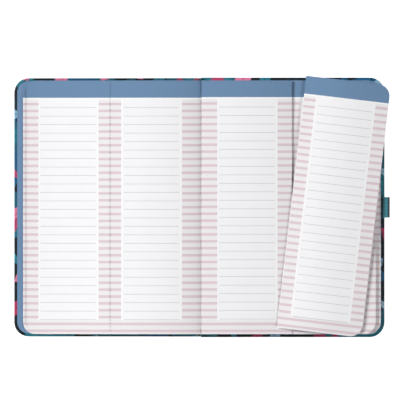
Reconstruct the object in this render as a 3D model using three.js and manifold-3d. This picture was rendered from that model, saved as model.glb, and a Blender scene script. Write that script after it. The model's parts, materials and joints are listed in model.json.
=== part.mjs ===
// An A5 diary in a hard case, lying open near its front, with a list slip torn off on its right page.
// The back cover lies flat under the thick part of the block and the spine stands beside it. The front
// cover is hinged at the top of the spine and slopes down to the table, with the first leaves on it.
// Millimetres: X from the gutter to the back cover's fore edge, Y to the head, Z up from the table.

import * as THREE from 'three';
import { mergeGeometries, mergeVertices } from 'three/addons/utils/BufferGeometryUtils.js';
import Module from 'manifold-3d';

const wasm = await Module();
wasm.setup();

// Leaves
const leafWidth = 148;
const leafHeight = 210;
const leafCorner = 10;
const leafThickness = 0.2;
const leafGap = 0.1;
const foreEdgeFan = 1;
const gutterTake = 1.5;

// Sewn sections
const sectionCount = 7;
const sectionThickness = 1.5;
const firstSectionThickness = 0.5;
const foldSqueeze = 0.2;
const gutterNear = 6;
const gutterFar = 28;
const gutterNearShare = 0.2;

// First leaves, which lie on the front cover
const listLeafStep = 2;
const leafRoot = 0.3;

// List leaf, perforated so that its outer column tears off
const perforationPitch = 3;
const perforationSlot = 1.8;
const perforationWidth = 0.35;
const tornTab = 0.35;
const slipWidth = 70.6;
const slipTurn = THREE.MathUtils.degToRad(-6.7);
const slipBack = 0.9;
const slipRise = 0.6;
const closedGap = 0.15;

// Case, which stands out beyond the leaves by its squares
const foreEdgeSquare = 3.7;
const headSquare = 2;
const coverCorner = 12;
const boardThickness = 2;
const wrapThickness = 0.35;
const pastedownThickness = 0.25;
const glueGap = 0.1;
const turnIn = 15;
const pastedownInset = 2.6;
const grooveWidth = 7;
const backHingeX = -0.3;
const tableGap = 0.1;

// A cutting body runs this far past the faces that it cuts.
const past = 1;

// Spine and its linings
const spineBoardThickness = 1.3;
const hollow = 0.25;
const mullThickness = 0.3;
const mullInset = 8;
const linerThickness = 0.25;
const linerInset = 2;
const hingeGap = 0.3;
const threadThickness = 0.45;
const threadWidth = 1.2;
const stitchCount = 5;
const stitchInset = 20;
const beadRadius = 0.9;
const bandTab = 6;
const bandThickness = 0.25;

// Pen loop
const loopLength = 17;
const loopWidth = 6.8;
const loopHeight = 10;
const elasticThickness = 0.7;
const loopTab = 10;
const loopFoot = 0.6;

// Sizes in plan that follow from these
const listLeafWidth = leafWidth - listLeafStep;
const rightLeafEdge = listLeafWidth - gutterTake;
const perforationPlace = listLeafWidth - slipWidth;
const slipCentreX = perforationPlace + slipWidth / 2 - slipBack;
const coverWidth = leafWidth + foreEdgeSquare - backHingeX;
const coverHeight = leafHeight + 2 * headSquare;
const loopStart = backHingeX + coverWidth - pastedownInset;

// Heights through the case and the block
const boardTop = wrapThickness + glueGap + boardThickness;
const turnInBottom = boardTop + glueGap;
const turnInTop = turnInBottom + wrapThickness;
const pastedownBottom = turnInTop + glueGap;
const coverThickness = pastedownBottom + pastedownThickness;
const blockBase = coverThickness + leafGap;
const sectionStep = sectionThickness + leafGap;
const firstRightSection = blockBase + leafThickness + leafGap;
const sectionsTop = firstRightSection + sectionCount * sectionStep - leafGap;
const rightLeafBottom = sectionsTop + leafGap;
const stubBottom = rightLeafBottom + leafThickness + leafGap;
const slipBottom = stubBottom + leafThickness + leafGap;
const slipTop = slipBottom + leafThickness;
const pageTop = stubBottom + leafThickness;

// Places behind the folds, from the block outwards
const threadX = -glueGap - threadThickness;
const mullX = threadX - glueGap - mullThickness;
const linerX = mullX - glueGap - linerThickness;
const spineTurnInX = linerX - hollow - wrapThickness;
const spineBoardX = spineTurnInX - glueGap - spineBoardThickness;
const spineWrapX = spineBoardX - glueGap - wrapThickness;
const hingeX = spineWrapX + wrapThickness / 2;

// Rest of the front cover
const firstLeavesThickness = 2 * (leafThickness + leafGap) + firstSectionThickness;
const restSlope = findRestSlope();
const firstLeafRise = leafRise(restSlope);
const hingeZ = hingeHeight(restSlope);
const hingeStrip = coverThickness - turnInBottom;
const spineTop = hingeZ - hingeStrip - hingeGap;

// The leaves turn at the gutter and the cover at the spine, so on the slope they must stand this high.
function leafRise(slope) {
  return leafGap - hingeX * Math.sin(slope);
}

// The closed cover lies on the first leaves, which lie on the slip.
function hingeHeight(slope) {
  return slipTop + closedGap + firstLeavesThickness + leafRise(slope);
}

// The open cover's outer edge comes down to the table. Height and slope settle in a few passes.
function findRestSlope() {
  const reach = Math.hypot(coverWidth, coverThickness);
  let slope = 0;
  for (let pass = 0; pass < 12; pass += 1) {
    const fall = (hingeHeight(slope) - tableGap) / reach;
    slope = Math.asin(fall) - Math.atan2(coverThickness, coverWidth);
  }
  return slope;
}

// Booleans
function solid(geometry) {
  const bare = geometry.clone();
  bare.deleteAttribute('normal');
  bare.deleteAttribute('uv');
  const merged = mergeVertices(bare, 1e-5);
  const vertProperties = new Float32Array(merged.attributes.position.array);
  const triVerts = new Uint32Array(merged.index.array);
  return new wasm.Manifold(new wasm.Mesh({ numProp: 3, vertProperties, triVerts }));
}

function geometryOf(body) {
  const mesh = body.getMesh();
  const geometry = new THREE.BufferGeometry();
  geometry.setAttribute('position', new THREE.BufferAttribute(mesh.vertProperties, 3));
  geometry.setIndex(new THREE.BufferAttribute(mesh.triVerts, 1));
  geometry.computeVertexNormals();
  return geometry;
}

// Basic forms
function block(x0, x1, y0, y1, z0, z1) {
  const geometry = new THREE.BoxGeometry(x1 - x0, y1 - y0, z1 - z0);
  return geometry.translate((x0 + x1) / 2, (y0 + y1) / 2, (z0 + z1) / 2);
}

function plate(outline, z0, z1) {
  const geometry = new THREE.ExtrudeGeometry(outline, {
    depth: z1 - z0,
    bevelEnabled: false,
    curveSegments: 8,
  });
  return geometry.translate(0, 0, z0);
}

// A section drawn across the book, in X and Z, and drawn out along the spine.
function alongSpine(section, length) {
  return plate(section, -length / 2, length / 2).rotateX(Math.PI / 2);
}

// A rectangle from the spine side to the fore edge, round at the two fore-edge corners.
function coverOutline(x0, x1, height, radius) {
  const top = height / 2;
  const outline = new THREE.Shape();
  outline.moveTo(x0, -top);
  outline.lineTo(x1 - radius, -top);
  outline.absarc(x1 - radius, radius - top, radius, -Math.PI / 2, 0);
  outline.absarc(x1 - radius, top - radius, radius, 0, Math.PI / 2);
  outline.lineTo(x0, top);
  outline.closePath();
  return outline;
}

function pick(name, colour, roughness) {
  return { name, colour, roughness };
}

function piece(finish, name, geometry) {
  const material = new THREE.MeshStandardMaterial({
    name: finish.name,
    color: finish.colour,
    roughness: finish.roughness,
    metalness: 0,
  });
  const mesh = new THREE.Mesh(geometry, material);
  mesh.name = name;
  return mesh;
}

const printedWrap = pick('printed_wrap', 0x1f6e80, 0.45);
const greyboard = pick('greyboard', 0x8c8a84, 0.9);
const endpaper = pick('blue_endpaper', 0x6c8db0, 0.75);
const printedLeaf = pick('printed_leaf', 0xf5f5f7, 0.8);
const bookPaper = pick('book_paper', 0xf1f1ef, 0.85);
const cottonMull = pick('cotton_mull', 0xe6e0d0, 0.95);
const kraftLiner = pick('kraft_liner', 0xb08d5b, 0.9);
const linenThread = pick('linen_thread', 0xf0ece0, 0.9);
const wovenBand = pick('woven_band', 0x2f6f86, 0.85);
const wovenElastic = pick('woven_elastic', 0x457a88, 0.8);

// One cover, outer face down at Z 0, hinge at X 0 and fore edge at the cover's width

function coverBoard() {
  const inset = wrapThickness + glueGap;
  const outline = coverOutline(
    grooveWidth + inset,
    coverWidth - inset,
    coverHeight - 2 * inset,
    coverCorner - inset,
  );
  return plate(outline, inset, boardTop);
}

// The printed sheet is folded round the board and turned in on three sides. On the fourth it runs up
// the board's edge and across the groove, where it bends.
function coverWrap() {
  const skin = coverOutline(0, coverWidth, coverHeight, coverCorner);
  const roomOutline = coverOutline(
    grooveWidth + wrapThickness,
    coverWidth - wrapThickness,
    coverHeight - 2 * wrapThickness,
    coverCorner - wrapThickness,
  );
  const top = coverHeight / 2;
  const room = plate(roomOutline, wrapThickness, turnInBottom);
  const groove = block(-past, grooveWidth, -top - past, top + past, -past, turnInBottom);
  const windowEnd = coverWidth - turnIn;
  const windowTop = top - turnIn;
  const window = block(
    grooveWidth + wrapThickness, windowEnd,
    -windowTop, windowTop,
    turnInBottom - past, turnInTop + past,
  );
  return solid(plate(skin, 0, turnInTop))
    .subtract(solid(groove))
    .subtract(solid(room))
    .subtract(solid(window));
}

// The pasted half of the endpaper covers the turn-ins and steps down onto the board between them.
function pastedown() {
  const inset = pastedownInset;
  const outline = coverOutline(0, coverWidth - inset, coverHeight - 2 * inset, coverCorner - inset);
  const windowTop = coverHeight / 2 - turnIn - glueGap;
  const windowStart = grooveWidth + wrapThickness + glueGap;
  const windowEnd = coverWidth - turnIn - glueGap;
  const wall = pastedownThickness;
  const well = block(windowStart, windowEnd, -windowTop, windowTop, turnInBottom, coverThickness);
  const hollowed = block(
    windowStart + wall, windowEnd - wall,
    wall - windowTop, windowTop - wall,
    turnInBottom + wall, coverThickness + past,
  );
  return solid(plate(outline, pastedownBottom, coverThickness))
    .add(solid(well))
    .subtract(solid(hollowed));
}

function frontCover() {
  const level = new THREE.Group();
  level.rotation.z = Math.PI;
  level.position.z = -coverThickness;
  level.add(piece(greyboard, 'front_board', coverBoard()));
  level.add(piece(printedWrap, 'front_cover_wrap', geometryOf(coverWrap())));
  level.add(piece(endpaper, 'front_pastedown', geometryOf(pastedown())));
  const cover = new THREE.Group();
  cover.position.set(hingeX, 0, hingeZ);
  cover.rotation.y = -restSlope;
  cover.add(level);
  return cover;
}

// The pen loop's tab lies in a slot through the pastedown and the turn-in.
function loopSlot() {
  const start = loopStart - backHingeX;
  const half = loopLength / 2 + glueGap;
  const slot = block(
    start - loopTab - glueGap, start + glueGap, -half, half,
    turnInBottom - glueGap / 2, coverThickness + past,
  );
  return solid(slot);
}

function backCover() {
  const cover = new THREE.Group();
  cover.position.x = backHingeX;
  const wrap = geometryOf(coverWrap().subtract(loopSlot()));
  cover.add(piece(greyboard, 'back_board', coverBoard()));
  cover.add(piece(printedWrap, 'back_cover_wrap', wrap));
  cover.add(piece(endpaper, 'back_pastedown', geometryOf(pastedown().subtract(loopSlot()))));
  return cover;
}

// Spine

function spineBoard() {
  const half = coverHeight / 2 - wrapThickness - glueGap;
  const right = spineBoardX + spineBoardThickness;
  return block(spineBoardX, right, -half, half, wrapThickness + glueGap, spineTop);
}

// The wrap goes under the spine board and up the groove's wall, and is turned in at head and tail.
function spineWrap() {
  const top = coverHeight / 2;
  const inner = spineTurnInX + wrapThickness;
  const outside = block(spineWrapX, inner, -top, top, 0, spineTop);
  const room = block(
    spineWrapX + wrapThickness, spineTurnInX,
    wrapThickness - top, top - wrapThickness,
    wrapThickness, spineTop + past,
  );
  const window = block(
    spineTurnInX - past, inner + past,
    turnIn - top, top - turnIn,
    wrapThickness, spineTop + past,
  );
  const edge = backHingeX - glueGap;
  const sole = block(inner - wrapThickness, edge, -top, top, 0, wrapThickness);
  const grooveWall = block(edge - wrapThickness, edge, -top, top, 0, turnInTop);
  return solid(outside).subtract(solid(room)).subtract(solid(window))
    .add(solid(sole)).add(solid(grooveWall));
}

function foldHeight(z) {
  return settled(0, z);
}

function lining(x, thickness, inset) {
  const half = leafHeight / 2 - inset;
  return block(x, x + thickness, -half, half, blockBase, foldHeight(sectionsTop));
}

// A chain of link stitches climbs the folds at each sewing station, fuller on each fold.
function stitchChain() {
  const chain = new THREE.Shape();
  const fullX = threadX;
  const slackX = threadX + threadThickness / 2;
  chain.moveTo(-glueGap, foldHeight(firstRightSection));
  chain.lineTo(slackX, foldHeight(firstRightSection));
  for (let index = 0; index < sectionCount; index += 1) {
    const bottom = firstRightSection + index * sectionStep;
    chain.lineTo(fullX, foldHeight(bottom + 0.3 * sectionThickness));
    chain.lineTo(fullX, foldHeight(bottom + 0.7 * sectionThickness));
    chain.lineTo(slackX, foldHeight(bottom + sectionThickness));
  }
  chain.lineTo(-glueGap, foldHeight(sectionsTop));
  chain.closePath();
  return alongSpine(chain, threadWidth);
}

// A band is a woven bead over the ends of the folds, with a tab glued to the spine.
function endBand(side) {
  const beadY = side * (leafHeight / 2 + leafGap + beadRadius);
  const low = blockBase;
  const high = foldHeight(sectionsTop);
  const bead = new THREE.CylinderGeometry(beadRadius, beadRadius, high - low, 16);
  bead.rotateX(Math.PI / 2).translate(beadRadius - bandThickness, beadY, (low + high) / 2);
  const tabX = -glueGap - bandThickness;
  const tabEnd = side * (leafHeight / 2 - bandTab);
  const tab = block(
    tabX, -glueGap,
    Math.min(beadY, tabEnd), Math.max(beadY, tabEnd),
    low, high,
  );
  return geometryOf(solid(bead).add(solid(tab)));
}

function spine() {
  const group = new THREE.Group();
  group.add(piece(greyboard, 'spine_board', spineBoard()));
  group.add(piece(printedWrap, 'spine_wrap', geometryOf(spineWrap())));
  group.add(piece(cottonMull, 'mull', lining(mullX, mullThickness, mullInset)));
  group.add(piece(kraftLiner, 'spine_liner', lining(linerX, linerThickness, linerInset)));
  group.add(piece(wovenBand, 'headband', endBand(1)));
  group.add(piece(wovenBand, 'tailband', endBand(-1)));
  for (let index = 0; index < stitchCount; index += 1) {
    const stitches = piece(linenThread, `link_stitches_${index + 1}`, stitchChain());
    stitches.position.y = (leafHeight - 2 * stitchInset) * (index / (stitchCount - 1) - 0.5);
    group.add(stitches);
  }
  return group;
}

// The block on the back cover

// Towards the gutter the sewn folds are nipped tighter than the leaves.
function settled(x, z) {
  const near = gutterNearShare * Math.exp(-((x / gutterNear) ** 2));
  const far = (1 - gutterNearShare) * Math.exp(-((x / gutterFar) ** 2));
  return blockBase + (z - blockBase) * (1 - foldSqueeze * (near + far));
}

// The opened block leans over, so that its upper leaves stop short of its lower ones. The list leaf on
// top is a narrower leaf, and the bend in the gutter takes up some of it.
function foreEdge(z) {
  if (z > sectionsTop) {
    return rightLeafEdge;
  }
  return leafWidth - foreEdgeFan * (z - blockBase) / (sectionsTop - blockBase);
}

function gutterStations(foldRadius) {
  const fold = [0.1, 0.35, 0.65].map((share) => share * foldRadius);
  const near = [0.5, 1, 1.6].map((share) => share * gutterNear);
  const far = [0.5, 0.7, 0.9, 1.15, 1.45, 1.8, 2.3].map((share) => share * gutterFar);
  return [...fold, foldRadius, ...near, ...far];
}

// One layer of the block seen from its end: a round fold at the gutter, then flat to the fore edge.
function layerSection(bottom, top) {
  const radius = (top - bottom) / 2;
  const middle = (top + bottom) / 2;
  const upper = [];
  const lower = [];
  for (const x of gutterStations(radius)) {
    const inFold = Math.max(0, 1 - x / radius);
    const half = radius * Math.sqrt(1 - inFold ** 2);
    upper.push(new THREE.Vector2(x, settled(x, middle + half)));
    lower.push(new THREE.Vector2(x, settled(x, middle - half)));
  }
  upper.push(new THREE.Vector2(foreEdge(top), top));
  lower.push(new THREE.Vector2(foreEdge(bottom), bottom));
  const tip = new THREE.Vector2(0, settled(0, middle));
  return new THREE.Shape([tip, ...lower, ...upper.reverse()]);
}

function layerOfBlock(bottom, top) {
  const drawn = alongSpine(layerSection(bottom, top), leafHeight);
  const outline = coverOutline(-past, foreEdge(bottom), leafHeight + 1e-3, leafCorner);
  return solid(drawn).intersect(solid(plate(outline, bottom - coverThickness, top + past)));
}

// Perforation

function perforationCount() {
  return Math.floor((leafHeight - perforationPitch) / perforationPitch);
}

function perforationY(index) {
  return (index - (perforationCount() - 1) / 2) * perforationPitch;
}

function perforationSlots(z0, z1) {
  const slots = [];
  const half = perforationWidth / 2;
  for (let index = 0; index < perforationCount(); index += 1) {
    const y = perforationY(index);
    const end = perforationSlot / 2;
    slots.push(block(perforationPlace - half, perforationPlace + half, y - end, y + end, z0, z1));
  }
  return solid(mergeGeometries(slots));
}

// The broken ties between the slots stand out as small tabs along a torn edge, listed from the tail.
function tornEdge(x, outwards) {
  const points = [];
  const end = perforationSlot / 2;
  for (let index = 0; index < perforationCount(); index += 1) {
    const y = perforationY(index);
    points.push([x + outwards * tornTab, y - end], [x, y - end]);
    points.push([x, y + end], [x + outwards * tornTab, y + end]);
  }
  return points.map(([px, py]) => new THREE.Vector2(px, py));
}

function stub() {
  const top = leafHeight / 2 + past;
  const edge = perforationPlace - perforationWidth / 2 - tornTab;
  const corners = [
    new THREE.Vector2(edge + tornTab, top),
    new THREE.Vector2(-past, top),
    new THREE.Vector2(-past, -top),
    new THREE.Vector2(edge + tornTab, -top),
  ];
  const outline = new THREE.Shape([...corners, ...tornEdge(edge, 1)]);
  const bottom = foldHeight(stubBottom) - past;
  const drawn = alongSpine(layerSection(stubBottom, pageTop), leafHeight);
  return solid(drawn).intersect(solid(plate(outline, bottom, pageTop + past)));
}

function slip() {
  const half = slipWidth / 2;
  const top = leafHeight / 2;
  const outline = new THREE.Shape();
  outline.moveTo(-half, -top);
  outline.lineTo(half - leafCorner, -top);
  outline.absarc(half - leafCorner, leafCorner - top, leafCorner, -Math.PI / 2, 0);
  outline.absarc(half - leafCorner, top - leafCorner, leafCorner, 0, Math.PI / 2);
  outline.lineTo(-half, top);
  for (const point of tornEdge(tornTab - half, -1).reverse()) {
    outline.lineTo(point.x, point.y);
  }
  outline.closePath();
  const mesh = piece(printedLeaf, 'torn_list', plate(outline, 0, leafThickness));
  mesh.position.set(slipCentreX, slipRise, slipBottom);
  mesh.rotation.z = slipTurn;
  return mesh;
}

function textBlock() {
  const group = new THREE.Group();
  const flyleaf = layerOfBlock(blockBase, blockBase + leafThickness);
  group.add(piece(endpaper, 'back_flyleaf', geometryOf(flyleaf)));
  for (let index = 0; index < sectionCount; index += 1) {
    const bottom = firstRightSection + index * sectionStep;
    const section = geometryOf(layerOfBlock(bottom, bottom + sectionThickness));
    group.add(piece(bookPaper, `section_${sectionCount + 1 - index}`, section));
  }
  const leafTop = rightLeafBottom + leafThickness;
  const slots = perforationSlots(rightLeafBottom - past, leafTop + past);
  const leaf = layerOfBlock(rightLeafBottom, leafTop).subtract(slots);
  group.add(piece(printedLeaf, 'right_list_leaf', geometryOf(leaf)));
  group.add(piece(printedLeaf, 'right_list_stub', geometryOf(stub())));
  group.add(slip());
  return group;
}

// The first leaves, on the front cover

function firstLeaf(width, bottom, top) {
  return plate(coverOutline(leafRoot, width, leafHeight, leafCorner), bottom, top);
}

function firstLeaves() {
  const flyleafTop = firstLeafRise + leafThickness;
  const sectionBottom = flyleafTop + leafGap;
  const sectionTop = sectionBottom + firstSectionThickness;
  const leafBottom = sectionTop + leafGap;
  const leafTop = leafBottom + leafThickness;
  const slots = perforationSlots(leafBottom - past, leafTop + past);
  const listLeaf = solid(firstLeaf(listLeafWidth, leafBottom, leafTop)).subtract(slots);
  const level = new THREE.Group();
  level.rotation.z = Math.PI;
  const flyleaf = firstLeaf(leafWidth, firstLeafRise, flyleafTop);
  const section = firstLeaf(leafWidth, sectionBottom, sectionTop);
  level.add(piece(endpaper, 'front_flyleaf', flyleaf));
  level.add(piece(bookPaper, 'section_1', section));
  level.add(piece(printedLeaf, 'left_list_leaf', geometryOf(listLeaf)));
  const leaves = new THREE.Group();
  leaves.position.z = hingeZ;
  leaves.rotation.y = -restSlope;
  leaves.add(level);
  return leaves;
}

// Pen loop

function oval(width, height) {
  const radius = width / 2;
  const rise = height / 2 - radius;
  const outline = new THREE.Path();
  outline.absarc(0, rise, radius, 0, Math.PI);
  outline.absarc(0, -rise, radius, Math.PI, 2 * Math.PI);
  return outline;
}

// The elastic comes out of its slot over the cover's edge and turns back on itself as an oval loop.
function penLoop() {
  const outer = oval(loopWidth, loopHeight);
  const inner = oval(loopWidth - 2 * elasticThickness, loopHeight - 2 * elasticThickness);
  const ring = new THREE.Shape(outer.getPoints(8));
  ring.holes.push(inner);
  const loopX = loopStart + loopWidth / 2;
  const half = loopLength / 2;
  const footTop = pastedownBottom + elasticThickness;
  const tube = alongSpine(ring, loopLength);
  tube.translate(loopX, 0, pastedownBottom + loopHeight / 2);
  const tab = block(
    loopStart - loopTab, loopStart, -half, half,
    turnInBottom, coverThickness,
  );
  const foot = block(loopStart - loopFoot, loopX, -half, half, pastedownBottom, footTop);
  return geometryOf(solid(tube).add(solid(tab)).add(solid(foot)));
}

const diary = new THREE.Group();
diary.add(backCover());
diary.add(frontCover());
diary.add(spine());
diary.add(textBlock());
diary.add(firstLeaves());
diary.add(piece(wovenElastic, 'pen_loop', penLoop()));
diary.updateMatrixWorld(true);

export default diary;
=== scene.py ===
# The looks of an A5 hardback diary that lies open near its front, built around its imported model.
# Metres, in the model's own frame: X from the gutter to the back cover's fore edge, Y to the head, Z up.

import json
import math
import random

import bmesh
import bpy
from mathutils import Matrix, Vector


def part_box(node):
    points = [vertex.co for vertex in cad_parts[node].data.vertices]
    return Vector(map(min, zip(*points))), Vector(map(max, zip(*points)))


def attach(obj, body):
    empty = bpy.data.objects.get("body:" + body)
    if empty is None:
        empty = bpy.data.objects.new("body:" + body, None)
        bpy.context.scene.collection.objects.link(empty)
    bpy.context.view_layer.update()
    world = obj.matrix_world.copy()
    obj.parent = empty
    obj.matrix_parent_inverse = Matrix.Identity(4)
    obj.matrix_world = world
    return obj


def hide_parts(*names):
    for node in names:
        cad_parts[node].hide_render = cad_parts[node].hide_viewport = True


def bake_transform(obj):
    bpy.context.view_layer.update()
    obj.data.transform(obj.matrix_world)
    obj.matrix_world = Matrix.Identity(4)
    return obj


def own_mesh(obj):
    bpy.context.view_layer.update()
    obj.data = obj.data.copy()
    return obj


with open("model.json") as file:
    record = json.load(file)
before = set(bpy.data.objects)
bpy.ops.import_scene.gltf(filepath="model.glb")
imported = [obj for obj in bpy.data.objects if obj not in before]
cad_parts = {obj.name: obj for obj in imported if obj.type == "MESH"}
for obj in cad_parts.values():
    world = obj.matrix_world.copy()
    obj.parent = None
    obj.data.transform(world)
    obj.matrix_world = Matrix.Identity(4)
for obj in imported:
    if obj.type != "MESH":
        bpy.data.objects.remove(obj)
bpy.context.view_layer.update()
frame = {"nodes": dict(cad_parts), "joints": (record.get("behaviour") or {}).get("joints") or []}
nodes = frame["nodes"]
random.seed(7)

MM = 0.001
X_AXIS = Vector((1, 0, 0))
Z_AXIS = Vector((0, 0, 1))

# Points this near to a line lie on it, and points this near to each other are one.
TINY = 1e-5
MERGE = 1e-6

# Leaves
LEAF_HEIGHT = 210 * MM
LEAF_CORNER = 10 * MM
CORNER_SEGMENTS = 8
PAPER = 0.1 * MM
LEAF_GAP = 0.1 * MM

# Lines across a leaf along which it bends, in millimetres: by its root, over the page, by its far edge
ROOT_LINES = [0.03, 0.05, 0.07, 0.09, 0.11, 0.14, 0.2, 0.3, 0.45, 0.7, 1.0]
PAGE_LINES = [
    1.9, 2.5, 3.3, 4.2, 6, 8.5, 11, 14, 17.5, 21, 25, 30, 36, 43, 52, 64, 78, 94, 108, 118,
    123, 128, 133, 138,
]
EDGE_LINES = [0.4, 0.8, 1.4, 2.2, 3.5]
EDGE_ZONE = 4 * MM

# Rows that let a leaf bend a little along its height
ROWS = [step * 15 * MM for step in range(-6, 7)]

# Perforation: real slots, and broken ties of uneven length where it was torn
SLOT_PITCH = 3 * MM
SLOT_LENGTH = 1.8 * MM
SLOT_WIDTH = 0.35 * MM
SLOT_COUNT = 69
CUTTER_HEIGHT = 1 * MM
TEAR_DEPTH = 0.12 * MM

# The block on the back cover settles at its gutter and towards its fore edge.
FOLD_SQUEEZE = 0.2
GUTTER_NEAR = 6 * MM
GUTTER_FAR = 28 * MM
GUTTER_NEAR_SHARE = 0.2
FORE_START = 118 * MM
FORE_RUN = 28 * MM
FORE_LIMIT = 1.2
FORE_SAG = 0.2
LEAF_DROOP = 1.0 * MM

# The loose leaves swell on either side of the gutter, more so towards the tail.
LEFT_SWELL = 5.8 * MM
LEFT_RUN = 19.5 * MM
LEFT_SINK = 1.62 * MM
LEFT_DIP = 0.35 * MM
LEFT_DIP_RUN = 1.6 * MM
LEFT_CREST = 35 * MM
GUTTER_SLACK = 2.1 * MM
SLACK_DROP = 0.5 * MM
TAIL_SHARE = 0.05
ROOT_DROP = 3.5 * MM
ROOT_RUN = 0.08 * MM
ROOT_START = 0.1 * MM
ROOT_STEP = 0.13 * MM
HEAD_PROFILE = (1.75 * MM, 5.2 * MM, -6.0 * MM, 2.6)
TAIL_PROFILE = (2.2 * MM, 3.4 * MM, -5.35 * MM, 1.9)
EDGE_CURL = 0.6 * MM
CURL_RUN = 0.8 * MM

# Leaves on the front cover: each takes less of the swell than the one above it.
FIRST_SECTION_LEAVES = 4
FIRST_SECTION_SHARE = 0.92
SHARE_STEP = 0.2
FLYLEAF_SHARE = 0.1
LEAF_SHORTER = (0.1 * MM, 0.5 * MM)

# How far the next two list leaves reach past the block, and how the lower one turns up there
SECOND_LEAF_STEP = 0.2 * MM
THIRD_LEAF_STEP = 1.6 * MM
THIRD_LEAF_CURL = 0.5 * MM
THIRD_CURL_START = 0.4 * MM

# The torn-off slip arches by its own curl.
SLIP_STEPS = 16
SLIP_HEAD_LIFT = 1.6 * MM
SLIP_TAIL_LIFT = 2.0 * MM
SLIP_SLOPE = 0.083
SLIP_TURN = 0.192
SLIP_BEND_START = 12 * MM
SLIP_BEND_RUN = 40 * MM

# Sections of folded sheets, with a little unevenness where they were trimmed
SECTIONS = range(2, 9)
SECTION_FOLIOS = 5
FOLIO_HALF = 150 * MM
FOLIO_LINES = [
    0.2, 0.4, 0.6, 0.8, 1.0, 1.3, 1.8, 2.6, 4, 6, 9, 13, 18, 25, 34, 45, 60, 80,
    100, 118, 123, 128, 133, 138, 143, 147,
]
FOLIO_TALLNESS = (-0.0006, 0.0003)
FOLIO_TRIM = 0.25 * MM

# Case
COVER_CORNER = 12 * MM
WRAP = 0.35 * MM
BACK_OVERHANG = (0.3 * MM, 0.55 * MM)

# Edges this near to a cover's outline are rounded where they turn by more than these degrees.
OUTLINE_NEAR = 0.03 * MM
WRAP_SHARP = 50
WRAP_ROUNDING = 0.5 * MM

# The wrap's fold at the front hinge, in millimetres: down the spine, then out and up to the cover
HINGE_DROPS = [0.45, 0.3, 0.15, 0.0]
HINGE_CURVE = [(0.05, 0.12), (0.15, 0.22), (0.3, 0.3), (0.5, 0.36), (0.75, 0.39), (0.95, 0.4)]
HINGE_PAPER = 0.3 * MM
HINGE_ROWS = 12

# Pen loop of ribbed elastic
WEBBING = 0.7 * MM
WEBBING_CORE = 0.9
LOOP_OVERHANG = 0.35 * MM
LOOP_SEAT = 0.45 * MM
RIB_PITCH = 1.15 * MM
RIB_HEIGHT = 0.05 * MM
PICK_PITCH = 0.45 * MM
SELVEDGE = 0.5 * MM
SELVEDGE_SHARE = 0.45
STEPS_ROUND = 96
STEPS_ALONG = 120

# The stretch of X over which the loop's painted shade and painted highlight change
PAINTED_SHADE_START = 149 * MM
PAINTED_SHADE_END = 157 * MM

# Printed list, in millimetres from the head and from one side of the leaf
STRIPE_HALF = 1.05
COLUMN_STRIPES = 32
ALL_STRIPES = 34
LINE_PITCH = 7.02
LINE_HALF = 0.2
LINE_COUNT = 26
PANEL_MARGIN = 0.9
BODY_GAP = 1.5
BLEED = 2
# Painted shade along the perforations: its half width, and its strength on the page and on the stripes
PERFORATION_SHADE_HALF = 0.6
PERFORATION_SHADE_ON_PAGE = 0.07
PERFORATION_SHADE_ON_STRIPES = 0.24

# Tints of the printed list
LIST_WHITE = "#fefefe"
PANEL_WHITE = "#fafafc"
COLUMN_WHITE = "#f3f0f2"
STRIPE_PINK = "#e2cfd5"
LINE_GREY = "#c9c9cf"
# Painted shade of the perforations' pressed edges
PERFORATION_SHADE_GREY = "#8e868d"
LIST_BLUE = "#6c8db0"

# Tints of the cover's print
NIGHT = "#0a1a24"
NAVY = "#0d2430"
DEEP_TEAL = "#175d6e"
SEA_BLUE = "#14577a"
TEAL = "#1f7383"

# The cover's two sizes of printed leaves, each in cells of its own pitch
LARGE_LEAVES = {"pitch": 21 * MM, "half_length": 12.5 * MM, "half_width": 5.2 * MM, "shift": 0.452}
SMALL_LEAVES = {"pitch": 14 * MM, "half_length": 7.5 * MM, "half_width": 2.3 * MM, "shift": 0.77}
MIDRIB_HALF = 0.3 * MM
MIDRIB_STRENGTH = 0.55
PATCH_DRIFT = 12 * MM

# Fine patterns: how many of their features lie along a millimetre
PATCHES = 0.038 / MM
DRIFTS = 0.03 / MM
LAMINATE_GRAINS = 0.9 / MM
PAPER_CLOUDS = 0.09 / MM
PAPER_FIBRES = 1.4 / MM
BOARD_FLECKS = 1.1 / MM

# The photograph's frame, centre and scale, which is that of the open pages
PICTURE_PIXELS = 400
PICTURE_CENTRE = (-0.9 * MM, 6.05 * MM)
PIXELS_PER_MM = 1.2075
PAGE_LEVEL = 10 * MM
CAMERA_HEIGHT = 12.0


# Small helpers for modelling

def clear_selection():
    bpy.ops.object.select_all(action="DESELECT")


def make_active(piece):
    clear_selection()
    piece.select_set(True)
    bpy.context.view_layer.objects.active = piece


def choose_points(piece, test):
    mesh = bmesh.from_edit_mesh(piece.data)
    for point in mesh.verts:
        point.select = test(point.co)
    mesh.select_flush_mode()
    bmesh.update_edit_mesh(piece.data)


def cut_line(place, normal):
    bpy.ops.mesh.select_all(action="SELECT")
    bpy.ops.mesh.bisect(plane_co=place, plane_no=normal)


def finish_modifier(piece, kind, **settings):
    make_active(piece)
    modifier = piece.modifiers.new(kind.title(), kind)
    for name, value in settings.items():
        setattr(modifier, name, value)
    bpy.ops.object.modifier_apply(modifier=modifier.name)


def move_points(piece, rule):
    for point in piece.data.vertices:
        point.co = rule(point.co.copy())
    piece.data.update()


def copy_of(piece, name):
    twin = piece.copy()
    twin.data = piece.data.copy()
    twin.name = name
    bpy.context.scene.collection.objects.link(twin)
    return twin


def join(pieces, name):
    clear_selection()
    for piece in pieces:
        piece.select_set(True)
    bpy.context.view_layer.objects.active = pieces[0]
    bpy.ops.object.join()
    pieces[0].name = name
    return pieces[0]


def smooth(piece, angle=35):
    make_active(piece)
    bpy.ops.object.shade_smooth_by_angle(angle=math.radians(angle))


def wear(piece, material):
    piece.data.materials.clear()
    piece.data.materials.append(material)


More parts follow.
